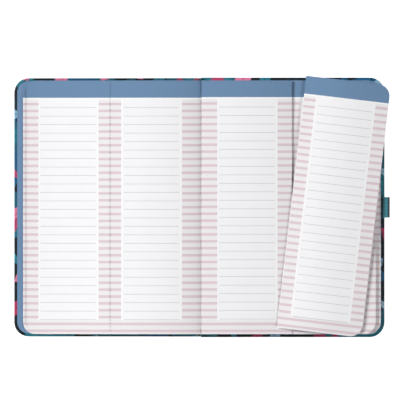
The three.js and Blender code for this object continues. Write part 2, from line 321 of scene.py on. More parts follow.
# Lays a piece's own map, in metres, from a rule for each point of its flat shape.
def unwrap(piece, rule):
    maps = piece.data.uv_layers
    layer = maps.new(name="print")
    for loop in piece.data.loops:
        layer.data[loop.index].uv = rule(piece.data.vertices[loop.vertex_index].co)
    maps.active = layer
    while len(maps) > 1:
        maps.remove(next(other for other in maps if other.name != "print"))


# Small helpers for finishes

def colour(code):
    parts = [int(code[i:i + 2], 16) / 255 for i in (1, 3, 5)]
    return (*[c / 12.92 if c <= 0.04045 else ((c + 0.055) / 1.055) ** 2.4 for c in parts], 1)


def node(tree, kind, inputs=None, **settings):
    made = tree.nodes.new(kind)
    for name, value in settings.items():
        setattr(made, name, value)
    for socket, value in (inputs or {}).items():
        if isinstance(value, bpy.types.Node):
            value = value.outputs[0]
        if isinstance(value, bpy.types.NodeSocket):
            tree.links.new(value, made.inputs[socket])
        else:
            made.inputs[socket].default_value = value
    return made


def new_finish(name, roughness, **values):
    material = bpy.data.materials.new(name)
    material.use_nodes = True
    tree = material.node_tree
    shader = tree.nodes["Principled BSDF"]
    shader.inputs["Roughness"].default_value = roughness
    for socket, value in values.items():
        shader.inputs[socket.replace("_", " ")].default_value = value
    return material, tree, shader


def dress(tree, shader, shade, height, strength, depth):
    bump = node(tree, "ShaderNodeBump", {"Strength": strength, "Distance": depth, "Height": height})
    tree.links.new(shade, shader.inputs["Base Color"])
    tree.links.new(bump.outputs[0], shader.inputs["Normal"])


def layered(tree, base, layers):
    for mask, tint in layers:
        base = node(tree, "ShaderNodeMix", {0: mask, 6: base, 7: tint}, data_type="RGBA").outputs[2]
    return base


# A wave texture of scale 1 repeats every pi / 10.
def wave_scale(pitch):
    return math.pi / 10 / pitch


def fill_ramp(ramp, stops, blend="LINEAR"):
    ramp.color_ramp.interpolation = blend
    points = ramp.color_ramp.elements
    while len(points) < len(stops):
        points.new(1.0)
    for point, (place, code) in zip(points, stops):
        point.position = place
        point.color = colour(code)


def within(tree, value, start, end):
    centre = (start + end) / 2
    return node(tree, "ShaderNodeMath", {0: value, 1: centre, 2: (end - start) / 2}, operation="COMPARE")


def any_of(tree, masks):
    total = masks[0]
    for mask in masks[1:]:
        total = node(tree, "ShaderNodeMath", {0: total, 1: mask}, operation="MAXIMUM")
    return total


def both_of(tree, one, other):
    return node(tree, "ShaderNodeMath", {0: one, 1: other}, operation="MULTIPLY")


def in_columns(tree, across, columns):
    return any_of(tree, [within(tree, across, start, end) for start, end in columns])


def repeated(tree, value, first, pitch, half, count):
    steps = node(
        tree, "ShaderNodeMath", {0: value, 1: 1 / pitch, 2: 0.5 - first / pitch}, operation="MULTIPLY_ADD"
    )
    part = node(tree, "ShaderNodeMath", {0: steps}, operation="FRACT")
    bars = node(tree, "ShaderNodeMath", {0: part, 1: 0.5, 2: half / pitch}, operation="COMPARE")
    span_of_all = within(tree, value, first - pitch / 2, first + (count - 0.5) * pitch)
    return both_of(tree, bars, span_of_all)


# Uncoated wood-free paper: matt, with a faint cloudy formation and a fine fibre grain, which together
# dim it by up to 2.5 percent.
def paper_surface(tree, shader, base):
    place = node(tree, "ShaderNodeTexCoord").outputs["Object"]
    cloud = node(tree, "ShaderNodeTexNoise", {"Vector": place, "Scale": PAPER_CLOUDS, "Detail": 3.0})
    fibre = node(tree, "ShaderNodeTexNoise", {"Vector": place, "Scale": PAPER_FIBRES, "Detail": 4.0})
    both = node(tree, "ShaderNodeMath", {0: cloud, 1: fibre}, operation="ADD")
    shade = node(tree, "ShaderNodeMapRange", {"Value": both, 1: 0.7, 2: 1.3, 3: 0.975, 4: 1.0})
    toned = node(
        tree, "ShaderNodeMix", {0: 1.0, 6: base, 7: shade}, data_type="RGBA", blend_type="MULTIPLY"
    )
    dress(tree, shader, toned.outputs[2], fibre, strength=0.25, depth=0.02 * MM)


def plain_paper(name, code, roughness=0.85):
    material, tree, shader = new_finish(name, roughness)
    paper_surface(tree, shader, colour(code))
    return material


# Paper printed by offset in a few tints: a blue head band, pink stripes and thin grey ruled lines.
# Along the line of perforations a painted shade of its pressed edges shows a little darker than the page.
def list_print(
    name, stripe_columns, line_columns, header, first_stripe, first_line, stripe_pitch, perforation_shade_at=None
):
    material, tree, shader = new_finish(name, 0.8)
    flat = node(tree, "ShaderNodeUVMap", uv_map="print")
    place = node(
        tree, "ShaderNodeVectorMath", {0: flat, 1: (1 / MM, 1 / MM, 0)}, operation="MULTIPLY"
    )
    parts = node(tree, "ShaderNodeSeparateXYZ", {0: place})
    across = parts.outputs[0]
    foot_edge = LEAF_HEIGHT / MM
    down = node(
        tree, "ShaderNodeMath", {0: parts.outputs[1], 1: -1.0, 2: foot_edge}, operation="MULTIPLY_ADD"
    )
    columns_end = first_stripe + (COLUMN_STRIPES - 0.5) * stripe_pitch
    wide_columns = [(start - PANEL_MARGIN, end + PANEL_MARGIN) for start, end in line_columns]

    band = within(tree, down, -BLEED, header)
    body = within(tree, down, header + BODY_GAP, columns_end)
    below_band = within(tree, down, header + BODY_GAP, foot_edge + BLEED)
    foot = within(tree, down, columns_end, foot_edge + BLEED)
    striped = any_of(tree, [in_columns(tree, across, stripe_columns), foot])
    stripes = repeated(tree, down, first_stripe, stripe_pitch, STRIPE_HALF, ALL_STRIPES)
    ruled = in_columns(tree, across, line_columns)
    lines = repeated(tree, down, first_line, LINE_PITCH, LINE_HALF, LINE_COUNT)
    panels = in_columns(tree, across, wide_columns)
    shade = layered(tree, colour(LIST_WHITE), [
        (both_of(tree, panels, body), colour(PANEL_WHITE)),
        (both_of(tree, striped, below_band), colour(COLUMN_WHITE)),
        (both_of(tree, striped, stripes), colour(STRIPE_PINK)),
        (both_of(tree, ruled, lines), colour(LINE_GREY)),
        (band, colour(LIST_BLUE)),
    ])
    # Painted shade along the line of perforations, stronger where it crosses the stripes
    if perforation_shade_at:
        perforation_shade_mask = both_of(tree, within(tree, across, perforation_shade_at - PERFORATION_SHADE_HALF, perforation_shade_at + PERFORATION_SHADE_HALF), body)
        perforation_shade_on_stripes_mask = both_of(tree, perforation_shade_mask, stripes)
        for mask, strength in ((perforation_shade_mask, PERFORATION_SHADE_ON_PAGE), (perforation_shade_on_stripes_mask, PERFORATION_SHADE_ON_STRIPES)):
            faint = node(tree, "ShaderNodeMath", {0: mask, 1: strength}, operation="MULTIPLY")
            shade = layered(tree, shade, [(faint, colour(PERFORATION_SHADE_GREY))])
    paper_surface(tree, shader, shade)
    return material


# One pointed leaf in each cell of a loose grid, turned at random: two crossed arcs and a midrib.
def leaf_motif(tree, place, pitch, half_length, half_width, shift):
    moved = node(tree, "ShaderNodeVectorMath", {0: place, 1: (shift, shift / 2, 0)}, operation="ADD")
    cells = node(
        tree, "ShaderNodeTexVoronoi", {"Vector": moved, "Scale": 1 / pitch, "Randomness": 0.8},
        voronoi_dimensions="2D",
    )
    pick = node(tree, "ShaderNodeSeparateColor", {0: cells.outputs["Color"]})
    local = node(
        tree, "ShaderNodeVectorMath", {0: moved, 1: cells.outputs["Position"]}, operation="SUBTRACT"
    )
    angle = node(tree, "ShaderNodeMath", {0: pick, 1: 2 * math.pi}, operation="MULTIPLY")
    turned = node(
        tree, "ShaderNodeVectorRotate", {"Vector": local, "Angle": angle}, rotation_type="Z_AXIS"
    )
    parts = node(tree, "ShaderNodeSeparateXYZ", {0: turned})
    side = node(tree, "ShaderNodeMath", {0: parts.outputs[1]}, operation="ABSOLUTE")
    offset = (half_length ** 2 - half_width ** 2) / (2 * half_width)
    raised = node(tree, "ShaderNodeMath", {0: side, 1: offset}, operation="ADD")
    arm = node(tree, "ShaderNodeCombineXYZ", {0: parts.outputs[0], 1: raised})
    distance = node(tree, "ShaderNodeVectorMath", {0: arm}, operation="LENGTH").outputs["Value"]
    inside = node(
        tree, "ShaderNodeMath", {0: distance, 1: offset + half_width}, operation="LESS_THAN"
    )
    rib = node(tree, "ShaderNodeMath", {0: side, 1: MIDRIB_HALF}, operation="LESS_THAN")
    return inside, both_of(tree, inside, rib), pick


# Printed and satin-laminated cover paper: scattered leaves in teal, light blue and magenta on navy.
# The pattern runs along Y and along X plus Z, so that it keeps its scale on the covers and on the spine.
def cover_print():
    material, tree, shader = new_finish(
        "satin_laminated_print", 0.36, Coat_Weight=0.25, Coat_Roughness=0.3
    )
    place = node(tree, "ShaderNodeTexCoord").outputs["Object"]
    root = math.sqrt(2)
    flat = node(
        tree, "ShaderNodeMapping", {0: place, "Rotation": (0, math.pi / 4, 0), "Scale": (root, 1, root)}
    )
    drift = node(tree, "ShaderNodeTexNoise", {"Vector": place, "Scale": DRIFTS, "Detail": 2.0})
    pushed = node(
        tree, "ShaderNodeVectorMath",
        {0: drift.outputs["Color"], 1: (PATCH_DRIFT, PATCH_DRIFT, 0.0), 2: flat}, operation="MULTIPLY_ADD",
    )
    patches = node(
        tree, "ShaderNodeTexVoronoi", {"Vector": pushed, "Scale": PATCHES, "Randomness": 0.9},
        voronoi_dimensions="2D",
    )
    pick = node(tree, "ShaderNodeSeparateColor", {0: patches.outputs["Color"]})
    ground = node(tree, "ShaderNodeValToRGB", {0: pick})
    fill_ramp(
        ground, [(0.0, NIGHT), (0.3, DEEP_TEAL), (0.52, SEA_BLUE), (0.72, NAVY), (0.84, TEAL)], "CONSTANT"
    )
    layers = []
    for sizes, bare_share, tints in (
        (LARGE_LEAVES, 0.1, [
            (0.0, TEAL), (0.24, "#b2375f"), (0.48, "#83acc7"), (0.62, SEA_BLUE), (0.74, NIGHT),
            (0.84, "#d6789a"),
        ]),
        (SMALL_LEAVES, 0.55, [(0.0, "#9cc0d6"), (0.3, "#2c8494"), (0.55, "#c0456c"), (0.75, NIGHT)]),
    ):
        inside, rib, cell = leaf_motif(tree, flat, **sizes)
        shown = node(tree, "ShaderNodeMath", {0: cell.outputs[1], 1: bare_share}, operation="GREATER_THAN")
        tint = node(tree, "ShaderNodeValToRGB", {0: cell.outputs[2]})
        fill_ramp(tint, tints, "CONSTANT")
        ribbed = both_of(tree, rib, shown)
        faint = node(tree, "ShaderNodeMath", {0: ribbed, 1: MIDRIB_STRENGTH}, operation="MULTIPLY")
        layers += [(both_of(tree, inside, shown), tint.outputs[0]), (faint, colour(NIGHT))]
    shade = layered(tree, ground.outputs[0], layers)
    grain = node(tree, "ShaderNodeTexNoise", {"Vector": place, "Scale": LAMINATE_GRAINS, "Detail": 3.0})
    dress(tree, shader, shade, grain, strength=0.12, depth=0.02 * MM)
    return material


# Grey bookbinding board, pressed from waste paper: flecked and quite rough.
def greyboard():
    material, tree, shader = new_finish("pressed_greyboard", 0.92)
    place = node(tree, "ShaderNodeTexCoord").outputs["Object"]
    flecks = node(tree, "ShaderNodeTexNoise", {"Vector": place, "Scale": BOARD_FLECKS, "Detail": 5.0})
    ramp = node(tree, "ShaderNodeValToRGB", {0: flecks})
    fill_ramp(ramp, [(0.35, "#6f6c66"), (0.62, "#a19d95")])
    dress(tree, shader, ramp.outputs[0], flecks, strength=0.5, depth=0.05 * MM)
    return material


# Cloth and thread: one wave, or two crossed ones, of the thread spacing give the weave and its bump.
def woven(name, light, dark, spacing, roughness, axes, sheen=0.0):
    material, tree, shader = new_finish(name, roughness, Sheen_Weight=sheen)
    place = node(tree, "ShaderNodeTexCoord").outputs["Object"]
    threads = [
        node(
            tree, "ShaderNodeTexWave", {"Vector": place, "Scale": wave_scale(spacing), "Distortion": 0.4},
            bands_direction=axis,
        ).outputs[1]
        for axis in axes
    ]
    weave = both_of(tree, *threads) if len(threads) > 1 else threads[0]
    shade = layered(tree, colour(dark), [(weave, colour(light))])
    dress(tree, shader, shade, weave, strength=0.6, depth=spacing / 4)
    return material


# Knitted elastic webbing: close ribs along its length, dyed teal, with a slight sheen. Along X it has
# painted shade by the pages, a painted highlight over the middle and the darkest painted shade at the far
# turn.
def elastic_webbing():
    material, tree, shader = new_finish("knitted_elastic", 0.7, Sheen_Weight=0.25)
    flat = node(tree, "ShaderNodeUVMap", uv_map="print")
    ribs = node(
        tree, "ShaderNodeTexWave", {"Vector": flat, "Scale": wave_scale(RIB_PITCH)}, bands_direction="Y"
    )
    picks = node(
        tree, "ShaderNodeTexWave", {"Vector": flat, "Scale": wave_scale(PICK_PITCH), "Distortion": 0.6},
        bands_direction="X",
    )
    weave = both_of(tree, ribs.outputs[1], picks.outputs[1])
    parts = node(tree, "ShaderNodeSeparateXYZ", {0: node(tree, "ShaderNodeTexCoord").outputs["Object"]})
    # Painted shade and highlight along X: darker by the pages, lighter over the middle, darkest at the far
    # turn
    side = node(tree, "ShaderNodeMapRange", {"Value": parts, 1: PAINTED_SHADE_START, 2: PAINTED_SHADE_END})
    painted_shade_ramp = node(tree, "ShaderNodeValToRGB", {0: side})
    fill_ramp(painted_shade_ramp, [
        (0.0, "#d0d0d0"), (0.3, "#a8a8a8"), (0.42, "#bcbcbc"), (0.56, "#fafafa"), (0.68, "#ffffff"),
        (0.745, "#163848"),
    ])
    shade = layered(tree, colour("#267488"), [(weave, colour("#66cbdb"))])
    toned = node(
        tree, "ShaderNodeMix", {0: 1.0, 6: shade, 7: painted_shade_ramp}, data_type="RGBA", blend_type="MULTIPLY"
    )
    dress(tree, shader, toned.outputs[2], weave, strength=0.5, depth=0.1 * MM)
    return material


left_print = list_print(
    "offset_printed_left_leaf",
    stripe_columns=[(-1, 10.8), (61.1, 80.0), (130.4, 150)], line_columns=[(12.6, 58.9), (82.4, 128.0)],
    header=14.3, first_stripe=19.5, first_line=22.5, stripe_pitch=5.69, perforation_shade_at=70.55,
)
right_print = list_print(
    "offset_printed_right_leaf",
    stripe_columns=[(-1, 13.4), (63.3, 82.2), (133.7, 150)], line_columns=[(15.0, 61.2), (84.3, 131.6)],
    header=13.8, first_stripe=19.0, first_line=22.0, stripe_pitch=5.705,
)
slip_print = list_print(
    "offset_printed_slip",
    stripe_columns=[(0.5, 10.2), (59.9, 72)], line_columns=[(12.4, 57.9)],
    header=14.9, first_stripe=19.6, first_line=23.6, stripe_pitch=5.69,
)
book_paper = plain_paper("uncoated_book_paper", "#f4f3f0")
blue_paper = plain_paper("blue_endpaper", LIST_BLUE, roughness=0.8)
kraft = plain_paper("kraft_paper", "#b08d5b", roughness=0.9)
board = greyboard()
print_finish = cover_print()
mull_cloth = woven("cotton_mull", "#ece6d8", "#b9b2a0", 0.9 * MM, roughness=0.95, axes="YZ")
thread = woven("waxed_linen_thread", "#f2eee2", "#c9c2ae", 0.3 * MM, roughness=0.8, axes="Z")
band_weave = woven(
    "woven_silk_band", "#2c6b80", "#0c1c26", 1.1 * MM, roughness=0.55, axes="Z", sheen=0.2
)
webbing = elastic_webbing()


# Where the model's pieces lie

def span(name, direction):
    values = [direction.dot(point.co) for point in nodes[name].data.vertices]
    return min(values), max(values)


def joint(name):
    return next(j for j in frame["joints"] if j["name"] == name)


def slope_of(name):
    face = max(nodes[name].data.polygons, key=lambda polygon: polygon.area)
    return math.atan(abs(face.normal.x / face.normal.z))


gutter = Vector(joint("list_leaf_turn")["pos_m"])
rest_slope = slope_of("front_board")
left_along = Vector((math.cos(rest_slope), 0, math.sin(rest_slope)))
left_up = Vector((-math.sin(rest_slope), 0, math.cos(rest_slope)))


# Heights of a piece on the front cover, from the gutter and square to the cover
def left_offsets(name):
    low, high = span(name, left_up)
    level = gutter.dot(left_up)
    return low - level, high - level


def left_reach(name):
    return span(name, -left_along)[1] + gutter.dot(left_along)


def middle_of(ends):
    return (ends[0] + ends[1]) / 2


cover_face = left_offsets("front_pastedown")[1]
list_offset = middle_of(left_offsets("left_list_leaf"))
perforation = span("right_list_stub", X_AXIS)[1]
block_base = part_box("back_flyleaf")[1].z - 2 * LEAF_GAP
block_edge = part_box("section_2")[1].x
leaf_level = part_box("right_list_leaf")[1].z - LEAF_GAP
flyleaf_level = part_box("back_flyleaf")[1].z - LEAF_GAP


# Forms that the leaves follow

def towards_edge(x):
    return min(FORE_LIMIT, max(0, x - FORE_START) / FORE_RUN) ** 2


def settled(x, z, sag=FORE_SAG):
    near = GUTTER_NEAR_SHARE * math.exp(-((x / GUTTER_NEAR) ** 2))
    far = (1 - GUTTER_NEAR_SHARE) * math.exp(-((x / GUTTER_FAR) ** 2))
    return block_base + (z - block_base) * (1 - FOLD_SQUEEZE * (near + far) - sag * towards_edge(x))


def towards_tail(y):
    return 1 - TAIL_SHARE * y / (LEAF_HEIGHT / 2)


# A leaf dives into the gutter within a hair's breadth of its root.
def root_drop(x, root):
    return ROOT_DROP * math.exp(-(((x - root) / ROOT_RUN) ** 2))


# How far a leaf on the front cover rises, at s from the gutter: share is its part of the swell, and
# height is 0 on the cover and 1 for the list leaf.
def left_rise(s, y, share, height, root, reach, curl):
    swell = LEFT_SWELL * towards_tail(y) * (1 - math.exp(-s / LEFT_RUN)) - LEFT_SINK
    landing = max(0, s - LEFT_CREST) / (reach - LEFT_CREST)
    rise = share * max(0, swell) * math.cos(math.pi / 2 * landing) ** 2
    loose = (1 - height) * math.exp(-((s / GUTTER_SLACK) ** 2))
    squeeze = (height + loose) * min(0, swell) - SLACK_DROP * loose
    dip = LEFT_DIP * math.exp(-((s / LEFT_DIP_RUN) ** 2))
    edge = curl * math.exp((s - reach) / CURL_RUN)
    return rise + squeeze - dip + edge - root_drop(s, root)


# How far each leaf on the back cover rises above its level, at x and y
def profile(share, form):
    start, slope, fall, power = form
    return start + slope * share + fall * share ** power


def stub_rise(x, y):
    tail = 0.5 - y / LEAF_HEIGHT
    share = max(0, x / perforation)
    rise = (1 - tail) * profile(share, HEAD_PROFILE) + tail * profile(share, TAIL_PROFILE)
    return rise - root_drop(x, ROOT_START)


def leaf_rise(x, y):
    return settled(x, leaf_level, 0) - leaf_level - LEAF_DROOP * towards_edge(x)


def second_rise(x, y):
    return settled(x, leaf_level) - leaf_level


def third_rise(x, y):
    past = max(0, x - block_edge - THIRD_CURL_START)
    return settled(x, leaf_level) - leaf_level + THIRD_LEAF_CURL * past / THIRD_LEAF_STEP


def flyleaf_rise(x, y):
    return settled(x, flyleaf_level) - flyleaf_level


# Flat sheets

def round_corners(leaf, end, corner):
    choose_points(leaf, lambda co: abs(co.x - end) < TINY)
    bpy.ops.mesh.bevel(offset=corner, segments=CORNER_SEGMENTS, profile=0.5, affect="VERTICES")


def flat_leaf(name, near, far, stations, rows=(), corner=LEAF_CORNER, both_ends=False):
    clear_selection()
    bpy.ops.mesh.primitive_plane_add(size=1)
    leaf = bpy.context.object
    leaf.name = name
    bpy.ops.object.mode_set(mode="EDIT")
    bpy.ops.transform.resize(value=(abs(far - near), LEAF_HEIGHT, 1))
    bpy.ops.transform.translate(value=((near + far) / 2, 0, 0))
    if corner:
        round_corners(leaf, far, corner)
    if both_ends:
        round_corners(leaf, near, corner)
    for station in stations:
        cut_line((station, 0, 0), (1, 0, 0))
    for row in rows:
        cut_line((0, row, 0), (0, 1, 0))
    bpy.ops.object.mode_set(mode="OBJECT")
    finish_modifier(leaf, "SOLIDIFY", thickness=PAPER, offset=0)
    return leaf


def cut_slots(leaf, place):
    clear_selection()
    bpy.ops.mesh.primitive_cube_add(size=1, location=(place, -(SLOT_COUNT - 1) / 2 * SLOT_PITCH, 0))
    cutter = bpy.context.object
    bpy.ops.object.mode_set(mode="EDIT")
    bpy.ops.transform.resize(value=(SLOT_WIDTH, SLOT_LENGTH, CUTTER_HEIGHT))
    bpy.ops.object.mode_set(mode="OBJECT")
    finish_modifier(
        cutter, "ARRAY", count=SLOT_COUNT, use_relative_offset=False, use_constant_offset=True,
        constant_offset_displace=(0, SLOT_PITCH, 0),
    )
    finish_modifier(leaf, "BOOLEAN", object=cutter, operation="DIFFERENCE", solver="EXACT")
    bpy.data.objects.remove(cutter)


def tear(leaf, place):
    for point in leaf.data.vertices:
        if abs(point.co.x - place) < TINY:
            point.co.x += random.uniform(-TEAR_DEPTH, TEAR_DEPTH)


def map_print(leaf, zero):
    unwrap(leaf, lambda co: (co.x - zero, co.y + LEAF_HEIGHT / 2))


def stations_to(sign, root, reach):
    steps = [root / MM + step for step in ROOT_LINES] + PAGE_LINES
    places = [step * MM for step in steps if step * MM < reach - EDGE_ZONE]
    edge = [reach - step * MM for step in EDGE_LINES]
    return [sign * place for place in places + edge]


def bending_leaf(name, sign, root, reach, corner=LEAF_CORNER):
    stations = stations_to(sign, root, reach)
    return flat_leaf(name, sign * root, sign * reach, stations, rows=ROWS, corner=corner)


def lay(leaf, origin, along, up, offset, rise):
    across = Vector((0, 1, 0))

    def place(co):
        return origin + along * co.x + across * co.y + up * (offset + co.z + rise(abs(co.x), co.y))

    move_points(leaf, place)


# Leaves on the front cover

def left_leaf(name, node_name, body, offset, share, root, reach, material, slots=False):
    leaf = bending_leaf(name, -1, root, reach)
    if slots:
        cut_slots(leaf, -perforation)
    map_print(leaf, -reach)
    height = (offset - cover_face) / (list_offset - cover_face)
    curl = EDGE_CURL if slots else 0
    lay(
        leaf, gutter, left_along, left_up, offset,
        lambda s, y: left_rise(s, y, share, height, root, reach, curl),
    )
    smooth(leaf)
    wear(leaf, material)
    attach(leaf, body)
    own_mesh(leaf)
    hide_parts(node_name)


# The list leaf, the first section's leaves from the lowest up, of which the top one is a list too, and
# the blue flyleaf under them all
def leaves_on_front_cover():
    left_leaf(
        "left_list_leaf_sheet", "left_list_leaf", "list_leaf_body", list_offset, share=1.0,
        root=ROOT_START, reach=left_reach("left_list_leaf"), material=left_print,
        slots=True,
    )
    low, high = left_offsets("section_1")
    step = (high - low) / FIRST_SECTION_LEAVES
    for index in range(FIRST_SECTION_LEAVES):
        below = FIRST_SECTION_LEAVES - index
        short = random.uniform(*LEAF_SHORTER) if below > 1 else 0
        left_leaf(
            f"section_1_leaf_{index + 1}", "section_1", "first_section_body",
            low + (index + 0.5) * step, share=FIRST_SECTION_SHARE - SHARE_STEP * (below - 1),
            root=ROOT_START + ROOT_STEP * below, reach=left_reach("section_1") - short,
            material=book_paper if short else left_print,
        )
    left_leaf(
        "front_flyleaf_sheet", "front_flyleaf", "front_flyleaf_body",
        middle_of(left_offsets("front_flyleaf")), share=FLYLEAF_SHARE,
        root=ROOT_START + ROOT_STEP * (1 + FIRST_SECTION_LEAVES), reach=left_reach("front_flyleaf"),
        material=blue_paper,
    )


# Leaves on the back cover

def right_leaf(name, node_name, far, level, rise, material, corner=LEAF_CORNER, torn=False):
    leaf = bending_leaf(name, 1, ROOT_START, far, corner)
    if torn:
        cut_slots(leaf, far)
        tear(leaf, far)
    map_print(leaf, 0)
    lay(leaf, Vector(), X_AXIS, Z_AXIS, level, rise)
    smooth(leaf)
    wear(leaf, material)
    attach(leaf, "back_and_block")
    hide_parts(node_name)
    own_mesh(leaf)


# The stub of the torn leaf, the list leaf under it, the next two lists, whose edges show beside that
# one's, and the flyleaf under the whole block
def leaves_on_back_cover():
    right_leaf(
        "right_list_stub_sheet", "right_list_stub", perforation,
        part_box("right_list_stub")[1].z - LEAF_GAP, stub_rise, right_print,
        corner=0, torn=True,
    )
    right_leaf(
        "right_list_leaf_sheet", "right_list_leaf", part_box("right_list_leaf")[1].x, leaf_level,
        leaf_rise, right_print,
    )
    right_leaf(
        "second_list_leaf", "section_2", block_edge + SECOND_LEAF_STEP, leaf_level - 2 * LEAF_GAP,
        second_rise, right_print,
    )
    right_leaf(
        "third_list_leaf", "section_2", block_edge + THIRD_LEAF_STEP, leaf_level - 3 * LEAF_GAP,
        third_rise, right_print,
    )
    right_leaf(
        "back_flyleaf_sheet", "back_flyleaf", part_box("back_flyleaf")[1].x, flyleaf_level,
        flyleaf_rise, blue_paper,
    )


# The torn slip lies across the page's fore edge, arched a little by its own curl.
def torn_slip():
    axis = Vector(joint("torn_list_slide")["axis"])
    side = Vector((-axis.y, axis.x, 0))
    start, end = span("torn_list", axis)
    width = end - start
    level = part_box("torn_list")[0].z + LEAF_GAP
    steps = [width * step / SLIP_STEPS for step in range(1, SLIP_STEPS)]
    slip = flat_leaf("torn_list_slip", 0, width, steps)
    cut_slots(slip, 0)
    tear(slip, 0)
    map_print(slip, 0)
    middle = side * middle_of(span("torn_list", side))

    def arch(u):
        bent = min(max(0, u - SLIP_BEND_START), SLIP_BEND_RUN)
        past = max(0, u - SLIP_BEND_START - SLIP_BEND_RUN)
        return SLIP_SLOPE * u - SLIP_TURN * (bent ** 2 / (2 * SLIP_BEND_RUN) + past)

    def place(co):
        flat = axis * (start + co.x) + middle + side * co.y
        tail = 0.5 - co.y / LEAF_HEIGHT
        lift = SLIP_HEAD_LIFT + (SLIP_TAIL_LIFT - SLIP_HEAD_LIFT) * tail
        return Vector((flat.x, flat.y, level + co.z + lift + arch(max(0, co.x))))

    move_points(slip, place)
    smooth(slip)
    wear(slip, slip_print)
    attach(slip, "torn_list_body")
    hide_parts("torn_list")
    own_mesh(slip)


# Sewn sections of folded sheets, each folded round the one inside it

# A sheet's middle goes half round the fold, and its two arms lie along the block to the fore edge.
def fold(folio, fold_place, middle, radius, fore_edge):
    quarter = math.pi * radius / 2
    reach = fore_edge - fold_place + quarter
    spread = (reach - quarter) / (FOLIO_HALF - quarter)
    tallness = 1 + random.uniform(*FOLIO_TALLNESS)

    def place(co):
        side = 1 if co.x > 0 else -1
        away = abs(co.x)
        out = radius + co.z
        if away <= quarter:
            angle = co.x / radius
            x = fold_place - out * math.cos(angle)
            z = middle + out * math.sin(angle)
        else:
            x = fold_place + (away - quarter) * spread
            z = middle + side * out
        return Vector((x, co.y * tallness, settled(x, z)))

    move_points(folio, place)


def sections():
    stations = [0.0] + [sign * step * MM for step in FOLIO_LINES for sign in (-1, 1)]
    pattern = flat_leaf("folio", -FOLIO_HALF, FOLIO_HALF, stations, both_ends=True)
    tops = {k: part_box(f"section_{k}")[1].z for k in SECTIONS}
    thickness = tops[2] - tops[3] - LEAF_GAP
    step = thickness / (2 * SECTION_FOLIOS)
    for number, top in tops.items():
        name = f"section_{number}"
        fore_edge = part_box(name)[1].x
        folios = []
        for index in range(SECTION_FOLIOS):
            folio = copy_of(pattern, f"{name}_folio_{index}")
            radius = thickness / 2 - (index + 0.5) * step
            trim = 0 if index == 0 else random.uniform(0, FOLIO_TRIM)
            fold(folio, thickness / 2, top - thickness / 2, radius, fore_edge - trim)
            folios.append(folio)
        section = join(folios, f"{name}_leaves")
        smooth(section)
        wear(section, book_paper)
        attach(section, "back_and_block")
        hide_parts(name)
    bpy.data.objects.remove(pattern)


# Case

# How far a place lies outside a cover's outline with its round corners
def beyond_outline(place, far, half_height):
    across = place.x - (far - COVER_CORNER)
    along = abs(place.y) - (half_height - COVER_CORNER)
    if across > 0 and along > 0:
        return math.hypot(across, along) - COVER_CORNER
    return max(across, along) - COVER_CORNER


# How far out a place lies in a cover's rim, towards the fore edge and towards head or tail, up to 1
def outward(place, far, half_height):
    across = max(0, place.x - (far - COVER_CORNER)) / COVER_CORNER
    up = max(0, abs(place.y) - (half_height - COVER_CORNER)) / COVER_CORNER
    return across, math.copysign(up, place.y)


# A wrap with its outer edges rounded: only the edges on the cover's outline are bevelled.
def rounded_wrap(name, body, along, overhang=(0, 0)):
    wrap = copy_of(nodes[name], f"{name}_skin")
    wrap.parent = None
    make_active(wrap)
    bpy.ops.object.mode_set(mode="EDIT")
    bpy.ops.mesh.select_all(action="SELECT")
    bpy.ops.mesh.remove_doubles(threshold=MERGE)
    bpy.ops.mesh.dissolve_limited(angle_limit=math.radians(1))
    bpy.ops.object.mode_set(mode="OBJECT")
    mesh = bmesh.new()
    mesh.from_mesh(wrap.data)
    weight = mesh.edges.layers.float.new("bevel_weight_edge")
    far = max(along.dot(point.co) for point in mesh.verts)
    half_height = max(point.co.y for point in mesh.verts)
    for edge in mesh.edges:
        flat = [Vector((along.dot(point.co), point.co.y, 0)) for point in edge.verts]
        outer = all(abs(beyond_outline(place, far, half_height)) < OUTLINE_NEAR for place in flat)
        if outer and len(edge.link_faces) == 2 and edge.calc_face_angle() > math.radians(WRAP_SHARP):
            edge[weight] = 1.0
    mesh.to_mesh(wrap.data)
    mesh.free()
    finish_modifier(
        wrap, "BEVEL", width=WRAP_ROUNDING, segments=3, limit_method="WEIGHT", use_clamp_overlap=False,
    )

    def stretched(co):
        across, up = outward(Vector((along.dot(co), co.y, 0)), far, half_height)
        return co + along * (across * overhang[0]) + Vector((0, up * overhang[1], 0))

    move_points(wrap, stretched)
    smooth(wrap, angle=WRAP_SHARP)
    wear(wrap, print_finish)
    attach(wrap, body)
    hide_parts(name)


def spine_wrap():
    spine_skin = copy_of(nodes["spine_wrap"], "spine_wrap_skin")
    spine_skin.parent = None
    smooth(spine_skin)
    wear(spine_skin, print_finish)
    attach(spine_skin, "back_and_block")
    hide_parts("spine_wrap")


# The wrap's fold between the spine and the front cover
def hinge_fold():
    low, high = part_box("spine_wrap")
    path = [Vector((low.x + WRAP / 2, 0, high.z - drop * MM)) for drop in HINGE_DROPS]
    path += [path[-1] + Vector((-x * MM, 0, z * MM)) for x, z in HINGE_CURVE]
    last = len(path) - 1
    clear_selection()
    bpy.ops.mesh.primitive_grid_add(x_subdivisions=last, y_subdivisions=HINGE_ROWS, size=1)
    strip = bpy.context.object
    strip.name = "front_hinge_fold"
    finish_modifier(strip, "SOLIDIFY", thickness=HINGE_PAPER, offset=0)

    def place(co):
        index = min(last, max(0, round((co.x + 0.5) * last)))
        run = (path[min(last, index + 1)] - path[max(0, index - 1)]).normalized()
        normal = Vector((-run.z, 0, run.x))
        return path[index] + normal * co.z + Vector((0, co.y * (high.y - low.y), 0))

    move_points(strip, place)
    smooth(strip, angle=60)
    wear(strip, print_finish)
    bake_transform(strip)
    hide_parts("spine_wrap")


# Boards, pastedowns, linings, bands and sewing keep the model's own meshes.
def dress_inner_pieces():
    finishes = {
        "front_board": board, "back_board": board, "spine_board": board,
        "front_pastedown": blue_paper, "back_pastedown": blue_paper,
        "mull": mull_cloth, "spine_liner": kraft, "headband": band_weave, "tailband": band_weave,
        **{f"link_stitches_{number}": thread for number in range(1, 6)},
    }
    for name, material in finishes.items():
        wear(nodes[name], material)


# Pen loop

